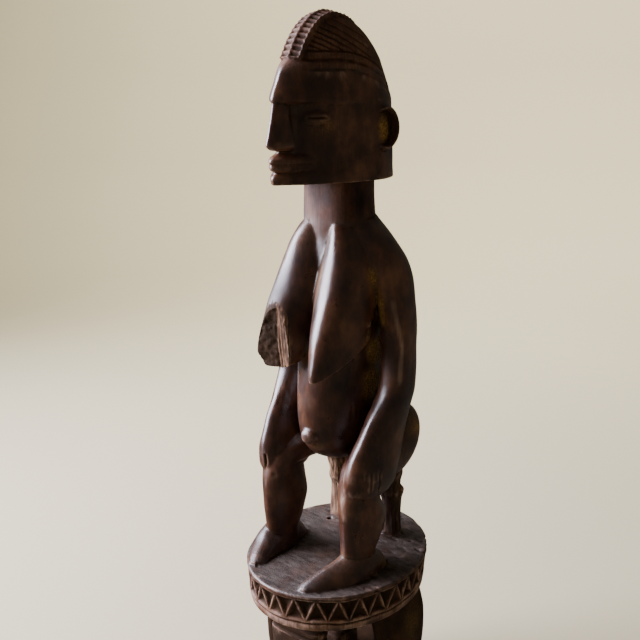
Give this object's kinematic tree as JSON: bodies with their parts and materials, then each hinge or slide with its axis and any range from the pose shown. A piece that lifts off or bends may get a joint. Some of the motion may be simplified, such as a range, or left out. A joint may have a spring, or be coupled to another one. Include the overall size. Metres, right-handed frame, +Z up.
{
  "type": "wooden caryatid figure",
  "caption": "Dark carved wooden figure of a seated woman with a crested hairstyle, on an oval stool seat with a zigzag band, open supports and a low oval base.",
  "frame": {"origin": "middle of the underside of the oval base", "axes": "+Z up, the figure faces -Y, its left side is +X"},
  "size_m": [0.156, 0.1868, 0.6347],
  "materials": {
    "wood": "dark semi-gloss patina, worn lighter on edges"
  },
  "bodies": {
    "root": {"caryatid_figure": "wood"}
  },
  "joints": []
}
